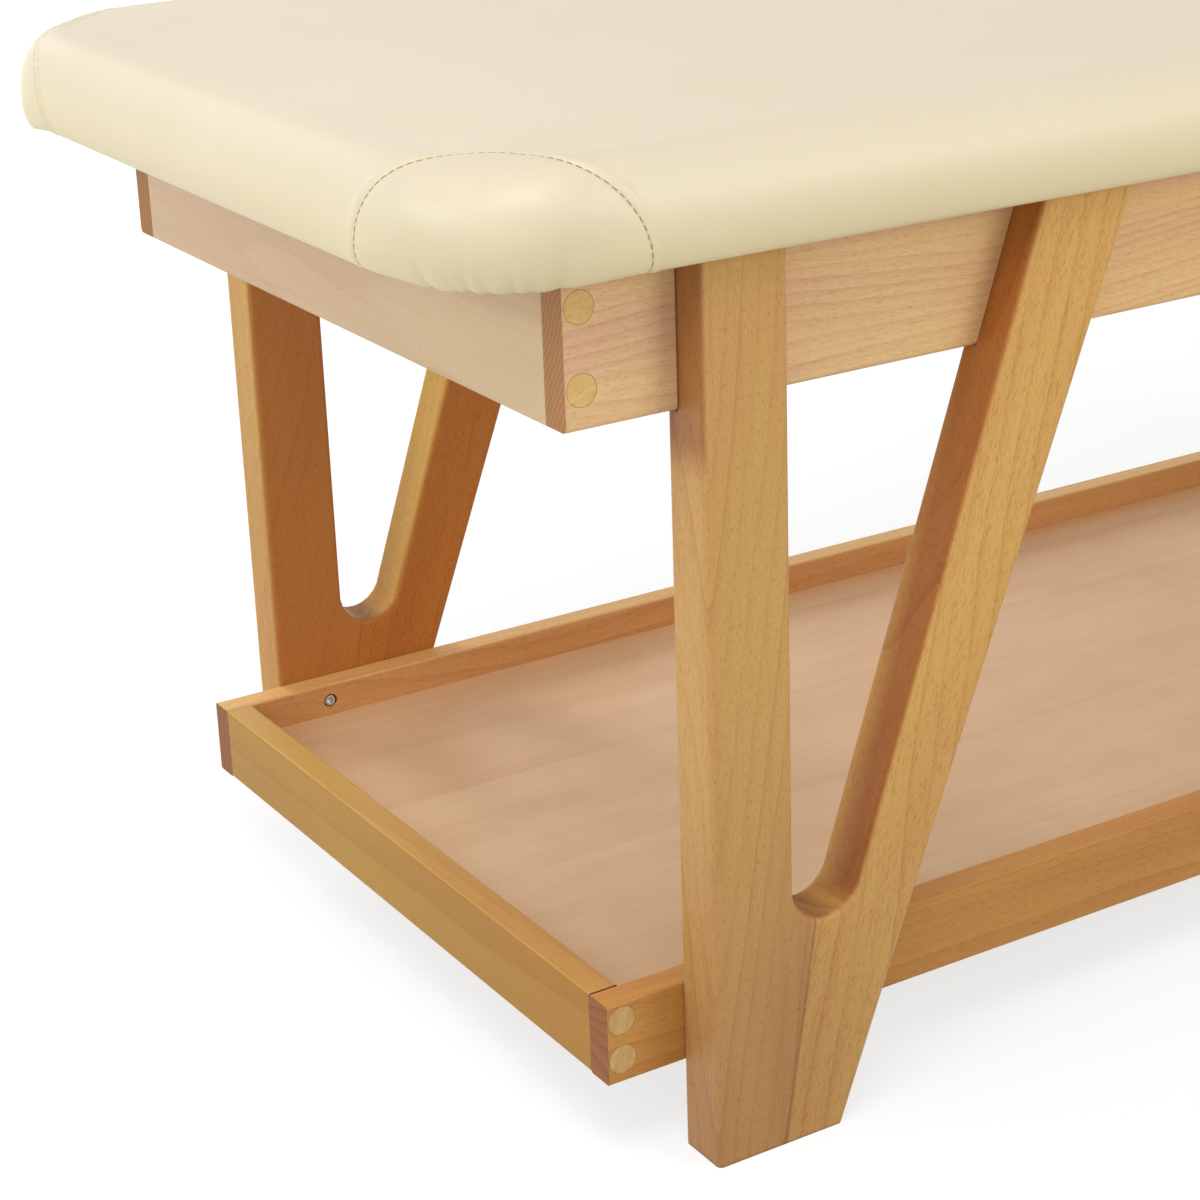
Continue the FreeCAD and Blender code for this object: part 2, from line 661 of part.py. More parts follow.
def flat_sided(outlines):
    """A solid through outlines with equal numbers of points, flat between each two."""
    faces = [flat_face(outlines[0]), flat_face(outlines[-1])]
    for low, high in zip(outlines, outlines[1:]):
        for here in range(len(low)):
            faces.append(flat_face([low[here - 1], low[here], high[here], high[here - 1]]))
    solid = Part.Solid(Part.Shell(faces))
    if solid.Volume < 0:
        solid.reverse()
    return solid


def cushion(label, inset):
    """The cushion's outer form, drawn in evenly by an inset on top and sides."""
    belly = size.pad_belly.value
    shoulder_in = size.pad_shoulder_in.value
    shoulder_up = size.pad_shoulder_up.value
    half_x = half_pad_x.value
    half_y = half_pad_y.value
    levels = [(size.pad_edge_in.value * in_share, belly * up_share)
              for in_share, up_share in LOWER_EDGE_SHARES]
    for step in range(SHOULDER_STEPS + 1):
        turn = math.pi / 2 * step / SHOULDER_STEPS
        drawn_in = 1 - math.cos(turn) ** (2 / SHOULDER_POWER)
        raised = math.sin(turn) ** (2 / SHOULDER_POWER)
        levels.append((shoulder_in * drawn_in, belly + (shoulder_up - belly) * raised))
    crown_width = half_y - shoulder_in - size.pad_flat.value
    for share in CROWN_SHARES:
        rise = size.pad_crown.value * (1 - (1 - share) ** 2)
        levels.append((shoulder_in + crown_width * share, shoulder_up + rise))
    height = levels[-1][1]
    outlines = []
    for drawn_in, up in levels:
        corner = size.pad_corner.value - min(drawn_in, shoulder_in) - inset
        corner = min(corner, half_y - drawn_in - inset - size.overrun.value)
        level = rail_top.value + inset + up * (height - 2 * inset) / height
        outlines.append(rounded_outline(half_x - drawn_in - inset, half_y - drawn_in - inset,
                                        corner, level))
    item = doc.addObject("Part::Feature", label)
    item.Shape = flat_sided(outlines)
    return item


board_x = half_pad_x - size.board_in
board_y = half_pad_y - size.board_in
board_corner = size.pad_corner - size.board_in


def board_form(label, base, thick):
    body = new_body(label)
    outline = new_sketch(body, "XY_Plane", base)
    rectangle(outline, -board_x, board_x, -board_y, board_y)
    pad(body, outline, thick)
    fillet(body, board_corner,
           lambda box: near(box.XLength, ZERO) and near(box.YLength, ZERO))
    return body


deck_pilot = size.deck_screw_length - (size.cross_thick - size.deck_screw_sink) - size.cover_thick
deck_spots = [(x, y) for x in cross_places for y in (-size.deck_screw_out, size.deck_screw_out)]
nodes.append(drilled("mattress_board", board_form("board_blank", board_base, size.board_thick), [
    rod(f"board_bore_{number}", ROD_FLAT_COUNT, size.screw_dia, deck_pilot + size.overrun,
        x, y, board_base - size.overrun, upright=True)
    for number, (x, y) in enumerate(deck_spots)]))

board_room = board_form("board_room", board_base - size.overrun, size.board_thick + size.overrun)
foam_form = cushion("foam_form", size.cover_thick.value + size.cover_gap.value)
nodes.append(cut("mattress_foam", foam_form, board_room))

cover_skin = cut("cover_skin", cushion("cover_outside", 0),
                 cushion("cover_inside", size.cover_thick.value))
opening = doc.addObject("Part::Box", "cover_opening")
opening_x = half_pad_x - size.cover_turn
opening_y = half_pad_y - size.cover_turn
opening.setExpression("Length", (opening_x * 2).formula)
opening.setExpression("Width", (opening_y * 2).formula)
opening.setExpression("Height", (size.cover_thick + size.overrun * 2).formula)
place(opening, -opening_x, -opening_y, rail_top - size.overrun)
cover = cut("cover", cover_skin, opening)
ball = doc.addObject("Part::Sphere", "seam_ball")
ball.setExpression("Radius", size.corner_reach.formula)
place(ball, -half_pad_x + size.corner_shift, -half_pad_y, rail_top)
corner_panel = doc.addObject("Part::Common", "cover_corner_front_left")
corner_panel.Label = "cover_corner_front_left"
corner_panel.Base = cover
corner_panel.Tool = ball
right_panel = mirrored(corner_panel, "cover_corner_front_right", across_x=True)
nodes += [corner_panel, right_panel, mirrored(corner_panel, "cover_corner_back_left"),
          mirrored(right_panel, "cover_corner_back_right")]
nodes.append(cut("mattress_cover", cover, at_four_corners("seam_balls", [ball])))

doc.recompute()
for item in doc.Objects:
    if "Invalid" in item.State or "Error" in item.State:
        raise RuntimeError(f"{item.Label} did not build")
for node in nodes:
    if node.Shape.isNull() or not node.Shape.isValid():
        raise RuntimeError(f"{node.Label} has no valid shape")
os.makedirs("parts", exist_ok=True)
for node in nodes:
    node.Shape.exportStep(f"parts/{node.Label}.step")
print(len(nodes), "pieces written")
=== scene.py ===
import math
import random

import bmesh
import bpy
from mathutils import Matrix, Vector


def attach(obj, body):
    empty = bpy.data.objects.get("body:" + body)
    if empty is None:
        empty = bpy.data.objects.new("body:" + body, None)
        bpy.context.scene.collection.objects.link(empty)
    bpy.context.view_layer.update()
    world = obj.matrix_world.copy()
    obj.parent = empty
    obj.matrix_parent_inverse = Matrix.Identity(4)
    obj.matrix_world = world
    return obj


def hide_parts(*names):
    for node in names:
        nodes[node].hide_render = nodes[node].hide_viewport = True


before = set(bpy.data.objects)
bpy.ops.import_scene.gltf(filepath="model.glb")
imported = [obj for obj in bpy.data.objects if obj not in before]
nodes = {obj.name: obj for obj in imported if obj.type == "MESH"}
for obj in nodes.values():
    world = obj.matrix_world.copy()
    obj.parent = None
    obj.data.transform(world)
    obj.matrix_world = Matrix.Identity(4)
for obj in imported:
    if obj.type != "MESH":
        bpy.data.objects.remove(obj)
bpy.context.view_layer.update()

# Camera: a little above the table's near left corner, as the photographer stood.
# The picture is slightly tilted, and its middle lies a little off the lens axis.
image_width = 1200
focal_pixels = 2757.94
camera_azimuth = math.radians(-31.7021)
camera_elevation = math.radians(21.2014)
camera_roll = math.radians(-1.7525)
camera_place = Vector((-1.7407, -1.7892, 1.0992))
axis_pixel = (640, 593)

back = Vector((math.sin(camera_azimuth) * math.cos(camera_elevation),
               -math.cos(camera_azimuth) * math.cos(camera_elevation),
               math.sin(camera_elevation)))
level_right = Vector((0, 0, 1)).cross(back).normalized()
level_up = back.cross(level_right)
right = level_right * math.cos(camera_roll) + level_up * math.sin(camera_roll)
up = back.cross(right)
camera_data = bpy.data.cameras.new("camera")
camera_data.sensor_width = 36
camera_data.lens = camera_data.sensor_width * focal_pixels / image_width
camera_data.shift_x = -(axis_pixel[0] / image_width - 0.5)
camera_data.shift_y = axis_pixel[1] / image_width - 0.5
camera = bpy.data.objects.new("camera", camera_data)
turn = Matrix((right, up, back)).transposed()
camera.matrix_world = Matrix.Translation(camera_place) @ turn.to_4x4()
bpy.context.scene.collection.objects.link(camera)
bpy.context.scene.camera = camera
bpy.context.scene.view_settings.view_transform = "Standard"


# Studio: a pale floor that runs out to a white surround, lit by the surround and
# by wide soft lamps. Only the camera and clear reflections see the plain white.


class Signal:
    """A value on its way through a material's nodes, used in sums like a number."""

    def __init__(self, tree, socket=None):
        self.tree = tree
        self.socket = socket

    def node(self, kind, settings, inputs, output=0):
        """Any node: its settings first, then the values or links of its sockets."""
        made = self.tree.nodes.new(kind)
        for name, value in settings.items():
            setattr(made, name, value)
        for key, value in inputs.items():
            if isinstance(value, Signal):
                self.tree.links.new(value.socket, made.inputs[key])
            else:
                made.inputs[key].default_value = value
        return Signal(self.tree, made.outputs[output]) if made.outputs else None

    def math(self, operation, first, second=0.0):
        """One sum of two numbers or signals."""
        return self.node("ShaderNodeMath", {"operation": operation}, {0: first, 1: second})

    def __add__(self, other):
        return self.math("ADD", self, other)

    __radd__ = __add__

    def __sub__(self, other):
        return self.math("SUBTRACT", self, other)

    def __rsub__(self, other):
        return self.math("SUBTRACT", other, self)

    def __mul__(self, other):
        return self.math("MULTIPLY", self, other)

    __rmul__ = __mul__

    def __truediv__(self, other):
        return self.math("DIVIDE", self, other)

    def __pow__(self, other):
        return self.math("POWER", self, other)

    def __abs__(self):
        return self.math("ABSOLUTE", self)

    def whole(self):
        """The whole number below this value."""
        return self.math("FLOOR", self)

    def larger(self, other):
        """The larger of this value and the other."""
        return self.math("MAXIMUM", self, other)

    def smaller(self, other):
        """The smaller of this value and the other."""
        return self.math("MINIMUM", self, other)

    def rise(self, low, high):
        """0 below low and 1 above high, with a soft step between."""
        return self.node("ShaderNodeMapRange", {"interpolation_type": "SMOOTHSTEP"},
                         {"Value": self, "From Min": low, "From Max": high})

    def mixed(self, first, second):
        """The first colour where this value is 0, and the second where it is 1."""
        return self.node("ShaderNodeMix", {"data_type": "RGBA"},
                         {0: self, 6: first, 7: second}, 2)

    def vector(self, operation, second, output=0):
        """This vector combined with a second one."""
        return self.node("ShaderNodeVectorMath", {"operation": operation},
                         {0: self, 1: second}, output)

    def part(self, axis):
        """One coordinate of this vector."""
        return self.node("ShaderNodeSeparateXYZ", {}, {0: self}, axis)

    def noise(self, scale=1.0, detail=2.0, roughness=0.5, distortion=0.0):
        """Soft random values about 0.5, read at this vector."""
        return self.node("ShaderNodeTexNoise", {},
                         {"Vector": self, "Scale": scale, "Detail": detail,
                          "Roughness": roughness, "Distortion": distortion})


def colour(code):
    """A colour as the shaders take it, from its six-digit code."""
    parts = [int(code[at:at + 2], 16) / 255 for at in (0, 2, 4)]
    return tuple(((part + 0.055) / 1.055) ** 2.4 if part > 0.04045 else part / 12.92
                 for part in parts) + (1.0,)


def finish(name, roughness, specular=0.5, metallic=0.0):
    """A new material, its shader, and a signal to start its nodes from."""
    material = bpy.data.materials.new(name)
    material.use_nodes = True
    tree = material.node_tree
    shader = tree.nodes["Principled BSDF"]
    shader.inputs["Roughness"].default_value = roughness
    shader.inputs["Specular IOR Level"].default_value = specular
    shader.inputs["Metallic"].default_value = metallic
    return material, shader, Signal(tree)


def feed(shader, **signals):
    """Link signals to the shader's sockets, whose names have _ for each space."""
    for name, signal in signals.items():
        signal.tree.links.new(signal.socket, shader.inputs[name.replace("_", " ")])


# The camera sees the floor as paper that glows: half of it by the table and all of it
# further out, so that the floor runs out to white on every side.
floor_half = 40.0
floor_albedo = (0.745, 0.80, 0.86, 1.0)
floor_glow = 1.4
glow_share = 0.5
glow_from = 1.5
glow_full = 3.4

mesh = bpy.data.meshes.new("studio_floor")
shape = bmesh.new()
bmesh.ops.create_grid(shape, x_segments=8, y_segments=8, size=floor_half)
shape.to_mesh(mesh)
shape.free()
studio_floor = bpy.data.objects.new("studio_floor", mesh)
bpy.context.scene.collection.objects.link(studio_floor)

material = bpy.data.materials.new("floor_paper")
material.use_nodes = True
tree = material.node_tree
tree.nodes.clear()
start = Signal(tree)
paper = start.node("ShaderNodeBsdfDiffuse", {}, {"Color": floor_albedo})
glow = start.node("ShaderNodeEmission", {}, {"Color": (1.0, 1.0, 1.0, 1.0), "Strength": floor_glow})
floor_place = start.node("ShaderNodeTexCoord", {}, {}, "Object")
away = floor_place.vector("LENGTH", (0.0, 0.0, 0.0), 1).rise(glow_from, glow_full)
lifted = start.node("ShaderNodeMixShader", {},
                    {0: away * (1.0 - glow_share) + glow_share, 1: paper, 2: glow})
seen = start.node("ShaderNodeLightPath", {}, {}, "Is Camera Ray")
mirrored_ray = start.node("ShaderNodeLightPath", {}, {}, "Is Glossy Ray")
direct = seen.larger(mirrored_ray)
shown = start.node("ShaderNodeMixShader", {}, {0: direct, 1: paper, 2: lifted})
start.node("ShaderNodeOutputMaterial", {}, {"Surface": shown})
mesh.materials.append(material)

surround_light = 0.42
world = bpy.data.worlds.new("studio_surround")
world.use_nodes = True
tree = world.node_tree
tree.nodes.clear()
start = Signal(tree)
dim = start.node("ShaderNodeBackground", {},
                 {"Color": (1.0, 0.99, 0.97, 1.0), "Strength": surround_light})
white = start.node("ShaderNodeBackground", {}, {"Color": (1.0, 1.0, 1.0, 1.0), "Strength": 1.0})
seen = start.node("ShaderNodeLightPath", {}, {}, "Is Camera Ray")
mirrored_ray = start.node("ShaderNodeLightPath", {}, {}, "Is Glossy Ray")
clear_ray = start.node("ShaderNodeLightPath", {}, {}, "Is Transmission Ray")
direct = seen.larger(mirrored_ray).larger(clear_ray)
shown = start.node("ShaderNodeMixShader", {}, {0: direct, 1: dim, 2: white})
start.node("ShaderNodeOutputWorld", {}, {"Surface": shown})
bpy.context.scene.world = world

# Each lamp: its place, the point that it faces, its width, its power and its colour.
daylight = (1.0, 0.99, 0.96)
warm_light = (1.0, 0.96, 0.84)
lamps = (
    ("top_lamp", (-1.9, -1.6, 3.5), (-0.6, 0.0, 0.4), 1.9, 37.0, daylight),
    ("left_lamp", (-4.2, -0.4, 1.8), (-0.8, 0.0, 0.4), 2.4, 43.0, daylight),
    ("front_lamp", (1.8, -4.1, 2.1), (-0.4, 0.0, 0.4), 2.6, 65.0, warm_light),
    ("back_lamp", (-1.3, 4.3, 1.6), (-0.4, 0.0, 0.1), 1.7, 106.0, daylight),
)
for name, place, target, width, power, tint in lamps:
    light = bpy.data.lights.new(name, "AREA")
    light.shape = "DISK"
    light.size = width
    light.energy = power
    light.color = tint
    lamp = bpy.data.objects.new(name, light)
    lamp.visible_glossy = name != "back_lamp"
    lamp.location = place
    facing = Vector(target) - Vector(place)
    lamp.rotation_mode = "QUATERNION"
    lamp.rotation_quaternion = facing.to_track_quat("-Z", "Y")
    bpy.context.scene.collection.objects.link(lamp)


# Legs: four flat V-shaped beech legs, each an upright post and a leaning brace
# glued along a slanted line, sawn out, rounded on the arrises and varnished. Their
# grain runs up the post and along the brace, so the figure changes at the glue line.

# How fine each figure of the wood is along its grain and across it.
drift_scale = (1.1, 6.0, 6.0)
waver_scale = (3.5, 40.0, 40.0)
cloud_scale = (1.8, 14.0, 14.0)
streak_scale = (6.0, 380.0, 380.0)
fleck_scale = (190.0, 1500.0, 1500.0)
tick_scale = (260.0, 2300.0, 2300.0)
pore_scale = (200.0, 2600.0, 2600.0)
# How far the figures bend the rings, and how much each one changes the wood's tone.
drift_bend = 0.07
waver_bend = 0.003
pith_stretch = 0.7
line_break = 0.955
cloud_hue = 1.9
middle_hue = 0.45
line_depth = 0.55
streak_depth = 0.42
tick_depth = 0.14
least_shade = 0.02
fleck_edge = (0.54, 0.70)
tick_edge = (0.5, 0.75)
# The same for end grain, with the share of a face's turn over which it sets in.
end_line_power = 1.6
end_line_depth = 0.6
pore_depth = 1.5
end_cloud_depth = 0.5
middle_end = 0.30
end_turn = (0.72, 0.95)
# Painted light and shade on single faces: how far a face has to turn that way, and where the painted
# shade fades out.
face_turn = (0.35, 0.85)
fade_up = (0.512, 0.545)
fade_width = 0.03
fade_height = 0.2
fade_slope = 2.0
least_fade = 0.15
turning_waver = 0.2
glue_line = (0.00015, 0.0007)
line_tint = (0.66, 0.48, 0.29)
fleck_tint = (0.78, 0.58, 0.36)
glue_tint = (0.3, 0.24, 0.2)
end_dimming = 0.62
beech_specular = 0.26
arris = 0.0011
leg_arris = 0.005
leg_inner_face = 0.331


def grain_view(start, direction, shift):
    """The piece's coordinates with x along the grain, moved to its own place in the log."""
    place = start.node("ShaderNodeTexCoord", {}, {}, "Object")
    turn = Vector(direction).rotation_difference(Vector((1, 0, 0))).to_euler()
    return start.node("ShaderNodeMapping", {"vector_type": "POINT"},
                      {"Vector": place, "Location": shift, "Rotation": turn})


def wood(name, pale, warm, end, direction, shift, ring_gap=0.011, ring_strength=0.5,
         fleck_strength=0.5, slant=(0.0, 0.0), gloss=0.42, joint_lines=(), painted_faces=(),
         shade_fade=None, turning=None, line_power=2.2, ring_hue=0.35, edge=arris):
    """Solid beech: soft rings round a far pith, streaks, ray flecks and brown end grain."""
    material, shader, start = finish(name, gloss, beech_specular)
    log = grain_view(start, direction, shift)
    along = log.part(0)
    drift = log.vector("MULTIPLY", drift_scale).noise(1.0, 2.0)
    waver = log.vector("MULTIPLY", waver_scale).noise(1.0, 3.0)
    side_a = log.part(1) + along * slant[0]
    side_b = log.part(2) * pith_stretch + along * slant[1]
    radius = (side_a * side_a + side_b * side_b) ** 0.5
    rings = (radius + (drift - 0.5) * drift_bend + (waver - 0.5) * waver_bend) / ring_gap
    saw = rings - rings.whole()
    pick = start.node("ShaderNodeTexWhiteNoise", {"noise_dimensions": "1D"}, {"W": rings.whole()}, 0)
    late = saw ** line_power * (1.0 - saw.rise(line_break, 1.0)) * (pick * 0.8 + 0.35)
    streak = log.vector("MULTIPLY", streak_scale).noise(1.0, 3.0, 0.6)
    cloud = log.vector("MULTIPLY", cloud_scale).noise(1.0, 3.0, 0.55)
    fleck = log.vector("MULTIPLY", fleck_scale).noise(1.0, 1.0, 0.4).rise(*fleck_edge)
    tick = log.vector("MULTIPLY", tick_scale).noise(1.0, 1.0, 0.4).rise(*tick_edge)
    hue = (cloud - 0.5) * cloud_hue + (pick - 0.5) * ring_hue + middle_hue
    base = hue.rise(0.0, 1.0).mixed(colour(pale), colour(warm))
    shade = (late * ring_strength * line_depth + (streak - 0.5) * streak_depth
             + tick * tick_depth + least_shade)
    lined = shade.larger(0.0).mixed(base, base.vector("MULTIPLY", line_tint))
    flecked = (fleck * fleck_strength).mixed(lined, lined.vector("MULTIPLY", fleck_tint))

    soft_edge = start.node("ShaderNodeBevel", {"samples": 6}, {"Radius": edge})
    facing = abs(soft_edge.vector("DOT_PRODUCT", tuple(Vector(direction).normalized()), 1))
    is_end = facing.rise(*end_turn)
    pores = log.vector("MULTIPLY", pore_scale).noise(1.0, 1.0)
    end_late = saw ** end_line_power
    end_tone = (end_late * end_line_depth + (pores - 0.5) * pore_depth
                + (cloud - 0.5) * end_cloud_depth + middle_end)
    end_dark = tuple(part * end_dimming for part in colour(end)[:3]) + (1.0,)
    end_colour = end_tone.rise(0.0, 1.0).mixed(colour(end), end_dark)
    place = start.node("ShaderNodeTexCoord", {}, {}, "Object")
    # Painted light and shade: faces that turn the given way get a tint. On the front-left post this
    # applies only above the rail's lower edge. On the front-left brace it is strongest towards its
    # outer face and top.
    for way, tint in painted_faces:
        facing_way = soft_edge.vector("DOT_PRODUCT", way, 1).rise(*face_turn)
        if shade_fade == "up":
            facing_way = facing_way * place.part(2).rise(*fade_up)
        if shade_fade == "across":
            outside = (abs(place.part(1)) - leg_inner_face) / fade_width
            across = outside + (place.part(2) - fade_height) * fade_slope
            facing_way = facing_way * across.larger(least_fade).smaller(1.0)
        flecked = facing_way.mixed(flecked, flecked.vector("MULTIPLY", tint))
    # A tint that sets in below a level along one axis. On the legs it is painted shade towards the
    # floor, on the front side rail painted light at its near end, and on the tray's end rails it
    # makes the front part darker.
    if turning:
        axis, low, high, tint = turning
        below = 1.0 - (place.part(axis) + (drift - 0.5) * turning_waver).rise(low, high)
        flecked = below.mixed(flecked, flecked.vector("MULTIPLY", tint))
    surface = is_end.mixed(flecked, end_colour)

    for axis, at in joint_lines:
        gap = abs(place.part(axis) - at)
        surface = (1.0 - gap.rise(*glue_line)).mixed(
            surface, surface.vector("MULTIPLY", glue_tint))

    rough = gloss + (streak - 0.5) * 0.1 + fleck * 0.06 + is_end * 0.12
    height = streak * 0.4 - fleck * 0.5 - late * 0.25 + pores * is_end
    bump = start.node("ShaderNodeBump", {},
                      {"Strength": 0.35, "Distance": 0.00016, "Height": height, "Normal": soft_edge})
    feed(shader, Base_Color=surface, Roughness=rough, Normal=bump)
    return material


def dress(name, material):
    """Give every face of a CAD node that material."""
    mesh = nodes[name].data
    mesh.materials.clear()
    mesh.materials.append(material)


# How far along and up the braces lean.
brace_lean = 0.2395
brace_rise = 0.67
# Painted light and shade on single faces, each tint after the way that face looks: the back-left
# leg's inner faces are in shade under the table, and the front-left leg's end faces are in shade
# beside the rail and the post. The front-left brace's inner side is in part also darker, redder wood.
post_painted_light = {"front_left": (((-1, 0, 0), (0.64, 0.49, 0.45)),),
              "back_left": (((-1, 0, 0), (0.93, 0.86, 0.61)), ((0, -1, 0), (0.80, 0.55, 0.43)))}
brace_painted_light = {"front_left": (((-1, 0, 0), (0.64, 0.41, 0.31)),),
               "back_left": (((-1, 0, 0), (1.12, 1.17, 0.79)), ((0, -1, 0), (0.85, 0.58, 0.38)))}
# Each leg's pale and warm tones, the post's before the brace's.
leg_shades = (
    ("front_left", ("CFA260", "C48F55"), ("E2B666", "D6A25C")),
    ("front_right", ("DBAF66", "CC9A5B"), ("E0B468", "D4A05C")),
    ("back_left", ("DBAF66", "CC9A5B"), ("DBAF66", "CC9A5B")),
    ("back_right", ("DBAF66", "CC9A5B"), ("E0B468", "D4A05C")),
)
leg_end = "B4824E"
leg_line_power = 5.0
leg_ring_hue = 0.12
# Painted shade: the legs grow darker and browner towards the floor, where less light reaches them.
# The back legs darken only a little.
foot_low = 0.05
foot_high = 0.42
post_painted_foot_shade = (0.79, 0.73, 0.80)
brace_painted_foot_shade = (0.755, 0.71, 0.80)
back_painted_foot_shade = (0.98, 0.94, 0.94)
for number, (corner, post_tones, brace_tones) in enumerate(leg_shades):
    end_sign = -1 if "right" in corner else 1
    side_sign = 1 if "back" in corner else -1
    post_foot_shade = back_painted_foot_shade if "back" in corner else post_painted_foot_shade
    brace_foot_shade = back_painted_foot_shade if "back" in corner else brace_painted_foot_shade
    lines = 0.4 if corner == "back_left" else 0.85
    post_shift = (0.31 * number, 0.055 + side_sign * 0.30, 0.9 + 0.07 * number)
    dress(f"leg_post_{corner}", wood(
        f"post_beech_{corner}", *post_tones, leg_end, (0, 0, 1), post_shift,
        ring_gap=0.0095, ring_strength=lines, fleck_strength=0.6, slant=(0.12, 0.16),
        painted_faces=post_painted_light.get(corner, ()), shade_fade="up" if corner == "front_left" else None,
        turning=(2, foot_low, foot_high, post_foot_shade),
        line_power=leg_line_power, ring_hue=leg_ring_hue, edge=leg_arris))
    brace_shift = (0.83 + 0.41 * number, 0.04 + 0.02 * number, 0.7 + 0.09 * number)
    dress(f"leg_brace_{corner}", wood(
        f"brace_beech_{corner}", *brace_tones, leg_end,
        (end_sign * brace_lean, 0, brace_rise), brace_shift,
        ring_gap=0.0105, ring_strength=lines, fleck_strength=0.7, slant=(0.05, -0.08),
        painted_faces=brace_painted_light.get(corner, ()), shade_fade="across" if corner == "front_left" else None,
        turning=(2, foot_low, foot_high, brace_foot_shade),
        line_power=leg_line_power, ring_hue=leg_ring_hue, edge=leg_arris))

# Upper frame: two long side rails run past the ends of the end rails and are
# screwed to them, and three flat cross rails stand on dowels under the padded top.
# The rails are paler, pinker beech than the legs, with brown end grain in sight.

rail_end = "AD7A4E"
side_rail_edge = 0.320
end_joints = ((1, -side_rail_edge), (1, side_rail_edge))
post_joints = ((0, -0.8153), (0, 0.8153), (0, -0.7477), (0, 0.7477))
# Painted light: the front side rail is paler and less yellow towards its near left end, where more
# light reaches it.
dress("side_rail_front", wood("side_rail_beech_front", "ECBA6A", "E6AC6E", "BF8650",
                              (1, 0, 0), (0.2, 1.18, 0.385), ring_gap=0.0040,
                              ring_strength=0.6, fleck_strength=0.4, joint_lines=post_joints,
                              turning=(0, -0.95, 0.6, (1.0, 1.17, 2.0))))
dress("side_rail_back", wood("side_rail_beech_back", "DBAE78", "D4A680", "B57940",
                             (1, 0, 0), (1.4, 0.66, 0.4), ring_gap=0.0058,
                             ring_strength=0.5, fleck_strength=0.45, joint_lines=post_joints))
dress("end_rail_left", wood("end_rail_beech_left", "D8BC94", "D3B290", rail_end,
                            (0, 1, 0), (0.3, 0.86, -0.52), ring_gap=0.012,
                            ring_strength=0.25, fleck_strength=0.2, joint_lines=end_joints))
dress("end_rail_right", wood("end_rail_beech_right", "E1BD97", "DAB28F", rail_end,
                             (0, 1, 0), (0.9, -0.81, -0.50), ring_gap=0.012,
                             ring_strength=0.25, fleck_strength=0.2, joint_lines=end_joints))
for number, part in enumerate(("left", "middle", "right")):
    dress(f"cross_rail_{part}", wood(f"cross_rail_beech_{part}", "DCB584", "D2A679", rail_end,
                                     (0, 1, 0), (0.5 * number, 0.3 * number - 0.3, -0.61)))

# Plugs: short beech plugs glued over the screw heads and sanded flush with the
# rails. They are yellower than the rails, and each shows a thin dark glue ring.

plug_radius = 0.0115
rim_outer = 0.0002
rim_inner = 0.0008
rim_tint = (0.66, 0.56, 0.44)


def plug_wood(name, pale, deep, centre_x, levels, direction, shift):
    """Plug wood with a dark ring round each plug, two to an end of a rail."""
    material = wood(name, pale, deep, rail_end, direction, shift, ring_gap=0.006,
                    ring_strength=0.35, fleck_strength=0.5)
    tree = material.node_tree
    start = Signal(tree)
    shader = tree.nodes["Principled BSDF"]
    body = Signal(tree, shader.inputs["Base Color"].links[0].from_socket)
    place = start.node("ShaderNodeTexCoord", {}, {}, "Object")
    out = abs(place.part(0)) - centre_x
    reaches = []
    for level in levels:
        up = place.part(2) - level
        reaches.append((out * out + up * up) ** 0.5)
    nearest = reaches[0].smaller(reaches[1])
    rim = nearest.rise(plug_radius - rim_inner, plug_radius - rim_outer)
    feed(shader, Base_Color=rim.mixed(body, body.vector("MULTIPLY", rim_tint)))
    return material


dress("frame_plugs", plug_wood("frame_plug_beech", "ECCA86", "DBB26C", 0.8875,
                               (0.5875, 0.642), (1, 0, 0.25), (0.1, 0.3, -0.6)))
dress("tray_plugs", plug_wood("tray_plug_beech", "D2AE74", "BE965A", 0.866,
                              (0.0865, 0.1175), (0.3, 0, 1), (0.2, 0.32, -0.1)))

# Fasteners: zinc-plated screws and cap bolts, threaded steel inserts in the legs,
# and beech dowels in the cross rails. Only the bolt heads show.

scuff_scale = 900.0
haze_scale = 120.0
metal_dulling = 0.72
metal_edge = 0.0004


def plated(name, shade, roughness):
    """Bare or plated metal with fine scuffs and a faint haze."""
    material, shader, start = finish(name, roughness, 0.5, 1.0)
    place = start.node("ShaderNodeTexCoord", {}, {}, "Object")
    scuff = place.noise(scuff_scale, 3.0)
    haze = place.noise(haze_scale, 2.0)
    tone = (scuff - 0.5) * 0.6 + (haze - 0.5) * 0.5 + 0.5
    dull = tuple(part * metal_dulling for part in colour(shade)[:3]) + (1.0,)
    soft_edge = start.node("ShaderNodeBevel", {"samples": 4}, {"Radius": metal_edge})
    bump = start.node("ShaderNodeBump", {}, {"Strength": 0.2, "Distance": 0.00005,
                                             "Height": scuff, "Normal": soft_edge})
    feed(shader, Base_Color=tone.rise(0.0, 1.0).mixed(dull, colour(shade)),
         Roughness=roughness + (haze - 0.5) * 0.2, Normal=bump)
    return material


zinc = plated("bright_zinc", "D3D6D8", 0.28)
steel = plated("plain_steel", "A9A9A4", 0.36)
for name in ("frame_screws", "deck_screws", "tray_screws", "leg_bolts", "tray_bolts"):
    dress(name, zinc)
for name in ("leg_inserts", "tray_inserts"):
    dress(name, steel)
dress("cross_rail_dowels", wood("dowel_beech", "DDBB90", "C59D6A", rail_end,
                                (0, 1, 0), (0.1, 0.4, -0.65)))

# Storage tray: four low rails between the legs, screwed at the corners under
# plugs, with rounded upper edges. Its end rails are plain, olive-yellow beech.

